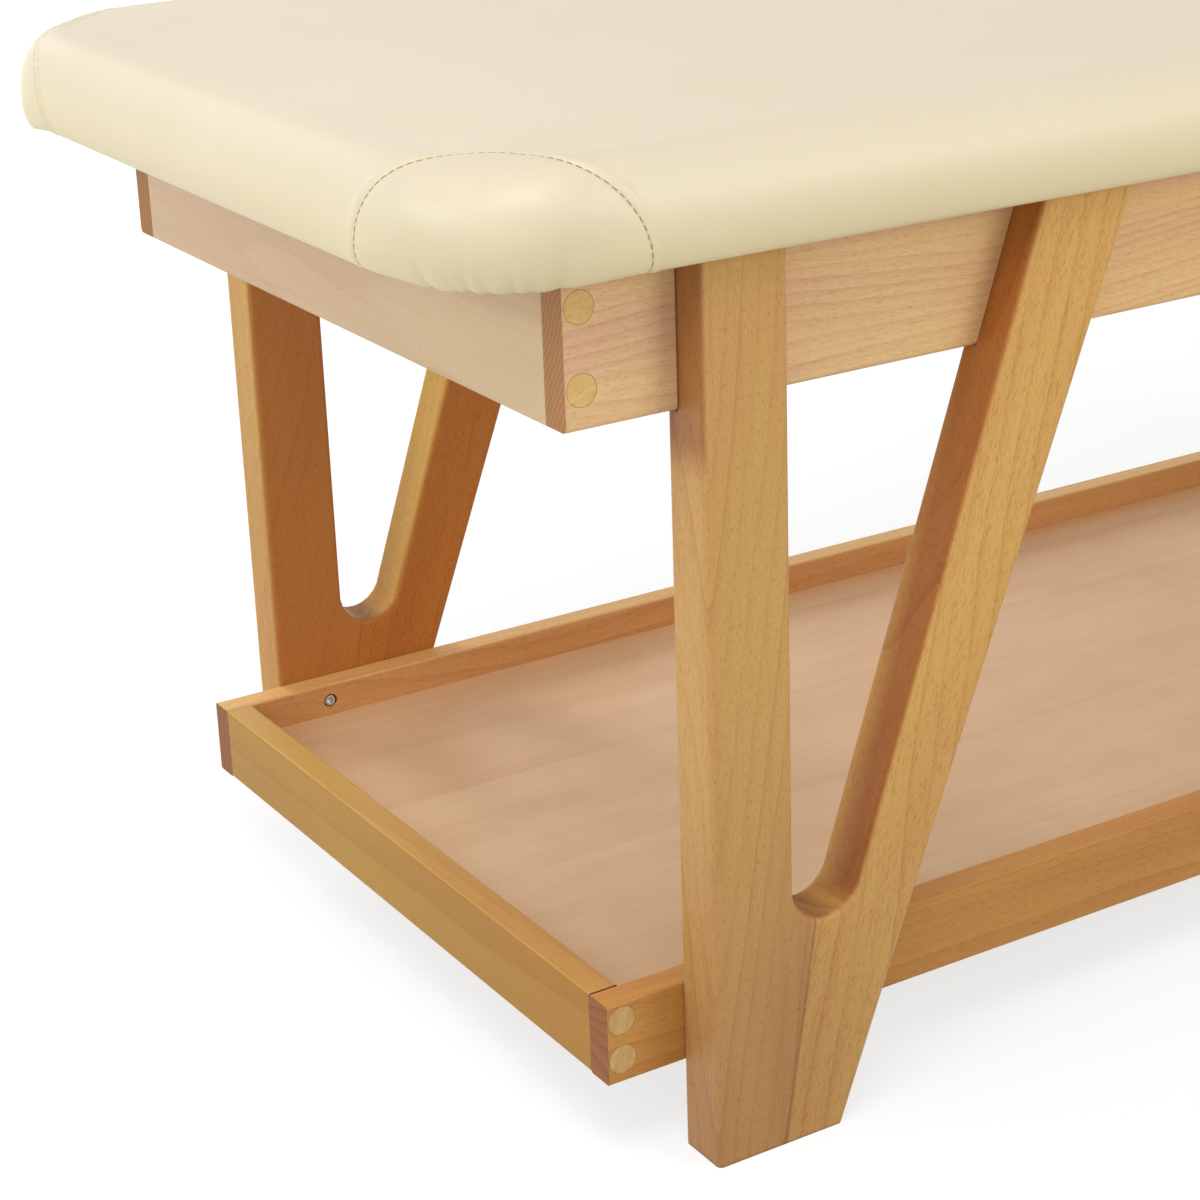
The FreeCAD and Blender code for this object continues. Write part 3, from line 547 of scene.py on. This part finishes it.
tray_side_edge = 0.307
tray_shades = {"front": ("C8924A", "BE8444"), "back": ("DEA96E", "D39A66")}
# Painted light: the tray rails' top faces are lighter, as if lit from above.
tray_top_painted_light = {"front": (1.12, 1.16, 1.3), "back": (1.30, 1.60, 1.65)}
for side, sign in (("front", -1), ("back", 1)):
    dress(f"tray_side_rail_{side}", wood(
        f"tray_side_beech_{side}", *tray_shades[side], "A16433",
        (1, 0, 0), (0.6 + sign, 0.7 + 0.3 * sign, 0.7), ring_gap=0.007,
        ring_strength=0.4, fleck_strength=0.5, painted_faces=(((0, 0, 1), tray_top_painted_light[side]),)))
for end, sign in (("left", -1), ("right", 1)):
    dress(f"tray_end_rail_{end}", wood(
        f"tray_end_beech_{end}", "BA8D2D", "B27F28", "A26C40",
        (0, 1, 0), (0.25 * sign, 0.82 * sign, -0.17), ring_gap=0.02,
        ring_strength=0.3, fleck_strength=0.2,
        joint_lines=((1, -tray_side_edge), (1, tray_side_edge)),
        # Painted light on the end rails' top and inner faces, which are made lighter and less yellow
        # than the outer faces. The rails are also darker towards the front.
        painted_faces=(((0, 0, 1), (1.44, 1.73, 5.4)), ((-sign, 0, 0), (1.2, 1.1, 1.9))),
        turning=(1, -0.30, 0.15, (0.90, 0.79, 0.72))))

# Tray floor: one thin sheet of beech plywood held in the rails' grooves. Its face
# veneer is laid in long strips, whose tones differ a little, and is rubbed smooth.

strip_width = 0.166
strip_start = 0.099
strip_waver = 0.004
strip_seam = (0.4945, 0.4995)
strip_bend_scale = (1.3, 0.4, 1.0)
veneer_figure_scale = (2.2, 16.0, 1.0)
veneer_streak_scale = (9.0, 330.0, 1.0)
veneer_fleck_scale = (150.0, 1000.0, 1.0)
veneer_fleck_edge = (0.62, 0.74)
rubbed_scale = 5.5
# Painted shade: the veneer is darker towards the front, as in the shade of the side rail and the
# padded top.
front_from = -0.32
front_to = 0.16
painted_front_shade = (0.82, 0.82, 0.80)
veneer_fleck_tint = (0.7, 0.6, 0.5)
veneer_seam_tint = (0.62, 0.5, 0.42)
ply_pale = "D9B487"
ply_dark = "9C7048"
veneer_rough = 0.44


def plywood(name, pale, deep, strip_pale, strip_deep, layer):
    """Plywood: strips of rubbed veneer on its faces, painted shade towards the front, and its plies
    on its edges.
    """
    material, shader, start = finish(name, veneer_rough, 0.4)
    place = start.node("ShaderNodeTexCoord", {}, {}, "Object")
    bend = place.vector("MULTIPLY", strip_bend_scale).noise(1.0, 2.0)
    lane = (place.part(1) - strip_start + (bend - 0.5) * strip_waver) / strip_width
    strip = lane.whole()
    seam = abs(lane - strip - 0.5).rise(*strip_seam)
    toss = start.node("ShaderNodeTexWhiteNoise", {"noise_dimensions": "1D"}, {"W": strip}, 0)
    shift = start.node("ShaderNodeCombineXYZ", {}, {0: toss * 7.0, 1: toss * 3.0, 2: 0.0})
    sheet = place.vector("ADD", shift)
    figure = sheet.vector("MULTIPLY", veneer_figure_scale).noise(1.0, 4.0, 0.6, 0.6)
    streak = sheet.vector("MULTIPLY", veneer_streak_scale).noise(1.0, 3.0, 0.6)
    rubbed = place.noise(rubbed_scale, 3.0, 0.6)
    fleck = sheet.vector("MULTIPLY", veneer_fleck_scale).noise(1.0, 1.0).rise(*veneer_fleck_edge)
    tone = (figure - 0.5) * 1.1 + (streak - 0.5) * 0.45 + (rubbed - 0.5) * 1.0 + 0.5
    plain = tone.rise(0.0, 1.0).mixed(colour(pale), colour(deep))
    toned = tone.rise(0.0, 1.0).mixed(colour(strip_pale), colour(strip_deep))
    face = toss.mixed(plain, toned)
    # Painted shade towards the front.
    front = 1.0 - (place.part(1) + (bend - 0.5) * 0.1).rise(front_from, front_to)
    face = front.mixed(face, face.vector("MULTIPLY", painted_front_shade))
    face = (fleck * 0.25).mixed(face, face.vector("MULTIPLY", veneer_fleck_tint))
    face = (seam * 0.3).mixed(face, face.vector("MULTIPLY", veneer_seam_tint))
    normal = start.node("ShaderNodeTexCoord", {}, {}, "Normal")
    on_edge = 1.0 - abs(normal.part(2)).rise(0.5, 0.9)
    plies = place.part(2) / layer
    ply = (plies - plies.whole()).rise(0.45, 0.55)
    edge = ply.mixed(colour(ply_pale), colour(ply_dark))
    surface = on_edge.mixed(face, edge)
    bump = start.node("ShaderNodeBump", {}, {"Strength": 0.25, "Distance": 0.00012,
                                             "Height": streak - fleck * 0.4 - seam * 0.8})
    feed(shader, Base_Color=surface, Roughness=veneer_rough + (rubbed - 0.5) * 0.16, Normal=bump)
    return material


dress("tray_floor", plywood("tray_floor_veneer", "FADDB8", "ECC7A0", "F5D4AE", "E4BD94",
                            layer=0.003))

# Board of the padded top: a plywood sheet under the foam. It is seen only from
# below, between the cross rails, inside the turned-in edge of the covering.

dress("mattress_board", plywood("board_veneer", "DFC39C", "CDAA7E", "DABB92", "C7A276",
                                layer=0.003))

# Padded top: firm foam on the board under one stretched cream covering, turned in
# and stapled below. Each corner is a separate panel, sewn in along a round arch,
# and gathered where it turns under.

# The skin's outline and profile, in metres.
half_x = 1.0028
half_y = 0.394
underside = 0.670
corner_round = 0.0994
hang = 0.0023
droop = 0.0022
belly_up = 0.0167
lower_round = 0.010
end_shoulder = 0.0202
side_shoulder = 0.0323
corner_shoulder = 0.0888
corner_reach = 0.073
shoulder_up = 0.0735
shoulder_power = 2.3
crown = 0.011
crown_start = 0.0495
crown_run = 0.200
# The turned-in edge, the recess that the board fills, and the pull along the sides.
turned_in = 0.068
flap_thick = 0.0009
board_clear = 0.0165
board_top = 0.0135
side_pull = 0.0024
# How closely the skin's lines lie: from the lower edge up, then across the top.
side_face = 0.036
face_bunching = 0.9
fine_step = 0.0055
fine_until = 0.115
step_growth = 0.16
coarse_step = 0.030
end_divisions = 22
lower_steps = 6
face_steps = 12
shoulder_steps = 13
# Over what distance each of these runs out.
shoulder_blend = 0.1
crown_edge = 0.03
pull_height = 0.03
low_edge = 0.022
mid_span = 0.5

# Rings of the skin from the hidden underside outward, round the lower edge and up to
# the widest line, each as its distance in from that line and its height. The rings
# above it, up the side and over the shoulder, take their heights from their places.
rings = [(board_clear, board_top), (board_clear, flap_thick), (0.042, flap_thick),
         (turned_in, flap_thick), (turned_in, 0.0), (0.050, 0.0), (0.034, 0.0), (0.024, 0.0),
         (0.0180, 0.0), (0.0155, -hang * 0.55), (0.0128, -hang * 0.92)]
outer_ring = len(rings) - 3
for step in range(lower_steps + 1):
    turn = math.pi / 2 * step / lower_steps
    rings.append((lower_round * (1 - math.sin(turn)), belly_up - (belly_up + hang) * math.cos(turn)))
widest_ring = len(rings) - 1
for step in range(1, face_steps + 1):
    turn = math.pi / 2 * step / face_steps
    rings.append((side_face * (1 - max(math.cos(turn), 0.0) ** face_bunching), None))
for step in range(1, shoulder_steps + 1):
    rings.append((side_face + (corner_round - side_face) * step / shoulder_steps, None))
corner_ring = len(rings) - 1
inset = corner_round
while inset < half_y - 1e-6:
    step_size = min(fine_step + max(0.0, inset - fine_until) * step_growth, coarse_step)
    inset = half_y if inset + step_size * 1.5 > half_y else inset + step_size
    rings.append((inset, None))
side_lines = len(rings) - 1
end_lines = [inset for inset, height in rings]
while end_lines[-1] < half_x - 1e-6:
    end_lines.append(min(end_lines[-1] + (half_x - half_y) / end_divisions, half_x))
length_lines = len(end_lines) - 1


def top_height(inset, from_end, from_side):
    """The skin's height above the widest line, with wider shoulders at the corners."""
    end_share = min(max((from_side - from_end) / shoulder_blend, -1.0), 1.0) / 2 + 0.5
    shoulder = side_shoulder + (end_shoulder - side_shoulder) * end_share
    near_corner = math.exp(-(max(from_end, from_side) / corner_reach) ** 2)
    shoulder += (corner_shoulder - shoulder) * near_corner
    left = 1 - min(inset / shoulder, 1.0)
    rise = (1 - left ** shoulder_power) ** (1 / shoulder_power)
    end = max(from_end - crown_start, 1e-6)
    side = max(from_side - crown_start, 1e-6)
    inward = min((end ** -2 + side ** -2) ** -0.5 / crown_run, 1.0)
    return (belly_up + (shoulder_up - belly_up) * rise
            + crown * (1 - (1 - inward) ** 2) * min(inset / crown_edge, 1.0))


def skin_point(along, across):
    """Where the grid's vertex goes: both counts run from the corner towards the middle."""
    ring = min(along, across)
    inset, height = rings[ring]
    bow = 0.0
    if max(along, across) < corner_ring:
        share = (max(along, across) - ring) / (corner_ring - ring)
        angle = math.radians(45 * (1 - share))
        radius = corner_round - inset
        near_side = corner_round - radius * math.cos(angle)
        near_end = corner_round - radius * math.sin(angle)
        if across > along:
            near_side, near_end = near_end, near_side
    elif across <= along:
        near_end, near_side = end_lines[along], inset
        if ring < corner_ring < along:
            bow = math.sin(math.pi / 2 * min(1, (near_end - corner_round) / mid_span)) ** 2
    else:
        near_end, near_side = inset, end_lines[across]
    if ring > widest_ring:
        height = top_height(inset, near_end, near_side)
    if ring > outer_ring:
        height -= droop * bow * max(0.0, 1 - (height + hang) / low_edge) ** 1.5
        near_side += side_pull * bow * min(max(height / pull_height, 0.0), 1.0)
    return near_end, near_side, height


shape = bmesh.new()
columns = 2 * length_lines
rows = 2 * side_lines
bmesh.ops.create_grid(shape, x_segments=columns, y_segments=rows, size=1.0)
on_skin = shape.verts.layers.float.new("on_skin")
tucks = shape.verts.layers.float.new("tucks")
net = {}
for vert in shape.verts:
    column = round((vert.co.x + 1) / 2 * columns)
    row = round((vert.co.y + 1) / 2 * rows)
    net[column, row] = vert
    along = min(column, columns - column)
    across = min(row, rows - row)
    near_end, near_side, height = skin_point(along, across)
    sign_x = 1 if column > length_lines else -1
    sign_y = 1 if row > side_lines else -1
    vert.co = (sign_x * (half_x - near_end), sign_y * (half_y - near_side), underside + height)
    ring = min(along, across)
    vert[on_skin] = 1.0 if ring > outer_ring else 0.0
    vert[tucks] = min(max((ring - outer_ring + 3) / 3, 0.0), 1.0)
border = [edge for edge in shape.edges if edge.is_boundary]
bmesh.ops.contextual_create(shape, geom=border)
bmesh.ops.recalc_face_normals(shape, faces=shape.faces)
shape.normal_update()

# The corner panels: gathers under each corner, a seam groove, and the seam
# allowance that lifts the skin outside it.
seam_reach = 0.1229
seam_squash = 1.31
seam_in_x = 0.0194
seam_in_y = 0.0071
groove_deep = 0.0008
allowance = 0.0065
allowance_lift = 0.00045
tuck_in = {-1: 0.0150, 1: -0.0005}
tuck_power = 1.3
tuck_height = 0.050
gather_deep = 0.0013
gather_drop = 0.0009
gather_from = 0.06
gather_edge = 0.064
sag = 0.0056
gathers = ((-46, 5.0, 1.6), (-36, 3.4, 0.7), (-25, 2.6, 1.3), (-14, 3.4, 0.9), (-4, 2.4, 1.4),
           (5, 2.8, 0.8), (14, 2.4, 1.3), (25, 3.4, 1.0), (38, 5.0, 1.5))
corners = ((-1, -1), (1, -1), (-1, 1), (1, 1))
random.seed(11)
for sign_x, sign_y in corners:
    seam_centre = Vector((sign_x * (half_x - seam_in_x), sign_y * (half_y - seam_in_y), underside))
    round_centre = Vector((sign_x * (half_x - corner_round), sign_y * (half_y - corner_round), 0))
    folds = [(angle + random.uniform(-2.5, 2.5), width * random.uniform(0.85, 1.2),
              depth * random.uniform(0.8, 1.2)) for angle, width, depth in gathers]
    for vert in shape.verts:
        local = Vector(((vert.co.x - round_centre.x) * sign_x,
                        (vert.co.y - round_centre.y) * sign_y))
        if min(local) < -gather_from or not vert[tucks]:
            continue
        level = vert.co.z - underside
        reach = (vert.co - seam_centre).length
        inside = 1 - min(max((reach - gather_from) / (seam_reach - gather_edge), 0.0), 1.0)
        inside = inside * inside * (3 - 2 * inside)
        low = min(max(0.0, 1 - level / tuck_height), 1.0)
        angle = math.degrees(math.atan2(local.y, local.x)) - 45
        outward = Vector((local.x * sign_x, local.y * sign_y, 0)).normalized()
        fold = sum(depth * math.exp(-((angle - middle) / width) ** 2)
                   for middle, width, depth in folds)
        pull = tuck_in[sign_y] * low ** tuck_power + gather_deep * fold * low ** 2
        vert.co -= outward * (vert[tucks] * inside * pull)
        if vert[on_skin]:
            vert.co.z -= inside * (sag * low ** 1.5 - gather_drop * fold * low ** 3)

# The covering is stretched over springy foam. A short cloth run under pressure, on a
# net of every second line, lets it swell a little and settle, and the skin follows.
held_side = 0.18
held_top = 0.4
held_top_from = 0.030
held_top_over = 0.035
firm_below = 0.018
most_swell = 0.003
cloth_frames = 20
coarse = bmesh.new()
bmesh.ops.create_grid(coarse, x_segments=length_lines, y_segments=side_lines, size=1.0)
places = []
held_shares = []
for vert in coarse.verts:
    place = (round((vert.co.x + 1) * length_lines), round((vert.co.y + 1) * side_lines))
    twin = net[place]
    vert.co = twin.co
    places.append(place)
    level = vert.co.z - underside
    grip = held_side + (held_top - held_side) * min(
        max((level - held_top_from) / held_top_over, 0.0), 1.0)
    grip += (1 - grip) * min(max(1 - level / firm_below, 0.0), 1.0)
    held_shares.append(grip if twin[on_skin] else 1.0)
border = [edge for edge in coarse.edges if edge.is_boundary]
bmesh.ops.contextual_create(coarse, geom=border)
bmesh.ops.recalc_face_normals(coarse, faces=coarse.faces)
mesh = bpy.data.meshes.new("cloth_trial")
coarse.to_mesh(mesh)
trial = bpy.data.objects.new("cloth_trial", mesh)
bpy.context.scene.collection.objects.link(trial)
held = trial.vertex_groups.new(name="held")
for number, share in enumerate(held_shares):
    held.add([number], share, "REPLACE")
cloth = trial.modifiers.new("cloth", "CLOTH").settings
cloth.quality = 3
cloth.use_pressure = True
cloth.uniform_pressure_force = 4.0
cloth.vertex_group_mass = "held"
cloth.effector_weights.gravity = 0.0
for number in range(1, cloth_frames + 1):
    bpy.context.scene.frame_set(number)
settled = trial.evaluated_get(bpy.context.evaluated_depsgraph_get()).to_mesh()
swell = {}
for place, vert, there in zip(places, coarse.verts, settled.vertices):
    move = there.co - vert.co
    swell[place] = move * min(1.0, most_swell / max(move.length, 1e-9))
for (column, row), vert in net.items():
    low_column, high_column = column // 2 * 2, (column + 1) // 2 * 2
    low_row, high_row = row // 2 * 2, (row + 1) // 2 * 2
    vert.co += (swell[low_column, low_row] + swell[high_column, low_row]
                + swell[low_column, high_row] + swell[high_column, high_row]) / 4
coarse.free()
bpy.data.objects.remove(trial)
bpy.data.meshes.remove(mesh)


near_seam = seam_reach * 1.4
least_slope = 0.3


def past_seam(vert, centre):
    """How far outside a corner panel's seam a point of the skin lies, along the skin."""
    out = vert.co - centre
    out.z *= seam_squash
    reach = out.length
    slope = Vector((out.x, out.y, out.z * seam_squash)) / reach
    slope -= vert.normal * slope.dot(vert.normal)
    return (reach - seam_reach) / max(slope.length, least_slope)


def score(shape, centre, offset):
    """Lay a line of edges along the skin at that distance outside the seam."""
    shape.normal_update()
    past = {vert: past_seam(vert, centre) - offset for vert in shape.verts
            if vert[on_skin] and (vert.co - centre).length < near_seam}
    crossed = [edge for edge in shape.edges
               if past.get(edge.verts[0], 0) * past.get(edge.verts[1], 0) < 0]
    line = []
    for edge in crossed:
        first, second = edge.verts
        share = past[first] / (past[first] - past[second])
        line.append(bmesh.utils.edge_split(edge, first, share)[1])
    bmesh.ops.connect_verts(shape, verts=line)
    return line


seams = []
for sign_x, sign_y in corners:
    centre = Vector((sign_x * (half_x - seam_in_x), sign_y * (half_y - seam_in_y), underside))
    for offset in (-0.0030, -0.0012, -0.0004, 0.0004, 0.0012, 0.0030,
                   allowance - 0.001, allowance, allowance + 0.0012):
        score(shape, centre, offset)
    seam = score(shape, centre, 0.0)
    lift_line = score(shape, centre, allowance + 0.0001)
    shape.normal_update()
    seams.append((centre, sign_x, sign_y,
                  [(vert.co.copy(), vert.normal.copy()) for vert in seam],
                  [(vert.co.copy(), vert.normal.copy()) for vert in lift_line]))
groove_wide = 0.0011
lift_start = 0.0025
lift_end = 0.0012
seam_zone = 0.004
moves = []
for centre, sign_x, sign_y, seam, lift_line in seams:
    for vert in shape.verts:
        if not vert[on_skin] or (vert.co - centre).length > near_seam:
            continue
        past = past_seam(vert, centre)
        if -seam_zone < past < allowance + seam_zone:
            groove = groove_deep * math.exp(-(past / groove_wide) ** 2)
            rise = min(max(past / lift_start, 0.0), 1.0)
            drop = 1 - min(max((past - allowance) / lift_end, 0.0), 1.0)
            lift = allowance_lift * rise * drop
            moves.append((vert, vert.normal * (lift - groove)))
for vert, move in moves:
    vert.co += move
mesh = bpy.data.meshes.new("padded_top")
bmesh.ops.recalc_face_normals(shape, faces=shape.faces)
shape.to_mesh(mesh)
shape.free()
mesh.shade_smooth()
padded_top = bpy.data.objects.new("padded_top", mesh)
bpy.context.scene.collection.objects.link(padded_top)


leather_rough = 0.40
pebble_scale = 900.0
low_from = 0.668
low_to = 0.738
# Painted shade: the skin darkens and yellows towards its lower edge, where it turns under and faces
# down.
painted_low_shade = (0.95, 0.89, 0.67)
painted_low_strength = 0.9
fine_scale = 2400.0
broad_scale = 7.0
mottle_scale = 60.0


def leather(name, shade, shaded):
    """Smooth artificial leather: a fine pebble, faint mottling and a darker lower edge of painted
    shade.
    """
    material, shader, start = finish(name, leather_rough, 0.5)
    place = start.node("ShaderNodeTexCoord", {}, {}, "Object")
    cells = start.node("ShaderNodeTexVoronoi", {"feature": "SMOOTH_F1"},
                       {"Vector": place, "Scale": pebble_scale, "Smoothness": 0.6})
    fine = place.noise(fine_scale, 2.0)
    broad = place.noise(broad_scale, 3.0, 0.55)
    mottle = place.noise(mottle_scale, 2.0)
    tone = (broad - 0.5) * 0.7 + (mottle - 0.5) * 0.25 + 0.5
    pebble = cells * 0.8 + fine * 0.35
    bump = start.node("ShaderNodeBump", {}, {"Strength": 0.22, "Distance": 0.00012, "Height": pebble})
    base = tone.rise(0.0, 1.0).mixed(colour(shaded), colour(shade))
    # Painted shade along the lower edge.
    low = 1.0 - (place.part(2) + (mottle - 0.5) * 0.01).rise(low_from, low_to)
    base = (low * painted_low_strength).mixed(base, base.vector("MULTIPLY", painted_low_shade))
    feed(shader, Base_Color=base,
         Roughness=leather_rough + (mottle - 0.5) * 0.08 + (cells - 0.4) * 0.1, Normal=bump)
    return material


mesh.materials.append(leather("cream_leather", "EDE1C9", "E8DBBF"))
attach(padded_top, "root")
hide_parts("mattress_cover", "mattress_foam",
            "cover_corner_front_left", "cover_corner_front_right",
            "cover_corner_back_left", "cover_corner_back_right")

# Stitches: olive thread lies in each arch seam as short dashes, and small cream
# stitches hold the seam allowance down on the outer side.


def stitches(name, lines, pitch, length, width, thick, sunk, material):
    """One mesh of stitches, evenly spaced along lines of points with their normals."""
    thread = bmesh.new()
    for centre, sign_x, sign_y, points in lines:
        ordered = sorted(points, key=lambda item: math.atan2(
            (item[0].x - centre.x) * -sign_x - (item[0].y - centre.y) * -sign_y,
            item[0].z - centre.z + 0.001))
        travelled = 0.0
        due = pitch / 2
        for (here, normal), (there, other) in zip(ordered, ordered[1:]):
            step = (there - here).length
            while step > 0 and travelled + step >= due:
                share = (due - travelled) / step
                spot = here.lerp(there, share)
                outward = normal.lerp(other, share).normalized()
                along = (there - here).normalized()
                across = outward.cross(along).normalized()
                turn = Matrix((along, across, along.cross(across))).transposed().to_4x4()
                size = Matrix.Diagonal((length / 2, width / 2, thick / 2, 1))
                place = Matrix.Translation(spot - outward * sunk)
                bmesh.ops.create_uvsphere(thread, u_segments=6, v_segments=4, radius=1.0,
                                          matrix=place @ turn @ size)
                due += pitch
            travelled += step
    mesh = bpy.data.meshes.new(name)
    bmesh.ops.recalc_face_normals(thread, faces=thread.faces)
    thread.to_mesh(mesh)
    thread.free()
    mesh.shade_smooth()
    mesh.materials.append(material)
    piece = bpy.data.objects.new(name, mesh)
    bpy.context.scene.collection.objects.link(piece)
    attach(piece, "root")
    return piece


twist_scale = 1800.0
thread_painted_shade = 0.6


def thread_finish(name, shade):
    """Twisted thread, darker between its turns: painted shade."""
    material, shader, start = finish(name, 0.6, 0.3)
    place = start.node("ShaderNodeTexCoord", {}, {}, "Object")
    twist = place.noise(twist_scale, 2.0)
    dark = tuple(part * thread_painted_shade for part in colour(shade)[:3]) + (1.0,)
    bump = start.node("ShaderNodeBump", {}, {"Strength": 0.5, "Distance": 0.0001, "Height": twist})
    feed(shader, Base_Color=twist.rise(0.2, 0.8).mixed(dark, colour(shade)), Normal=bump)
    return material


stitches("seam_stitches", [(centre, sx, sy, seam) for centre, sx, sy, seam, line in seams],
         pitch=0.0064, length=0.0052, width=0.0009, thick=0.0006, sunk=groove_deep * 0.7,
         material=thread_finish("olive_thread", "C4AC66"))
stitches("allowance_stitches", [(centre, sx, sy, line) for centre, sx, sy, seam, line in seams],
         pitch=0.0060, length=0.0018, width=0.0006, thick=0.0004, sunk=-0.0001,
         material=thread_finish("cream_thread", "DCCFA4"))
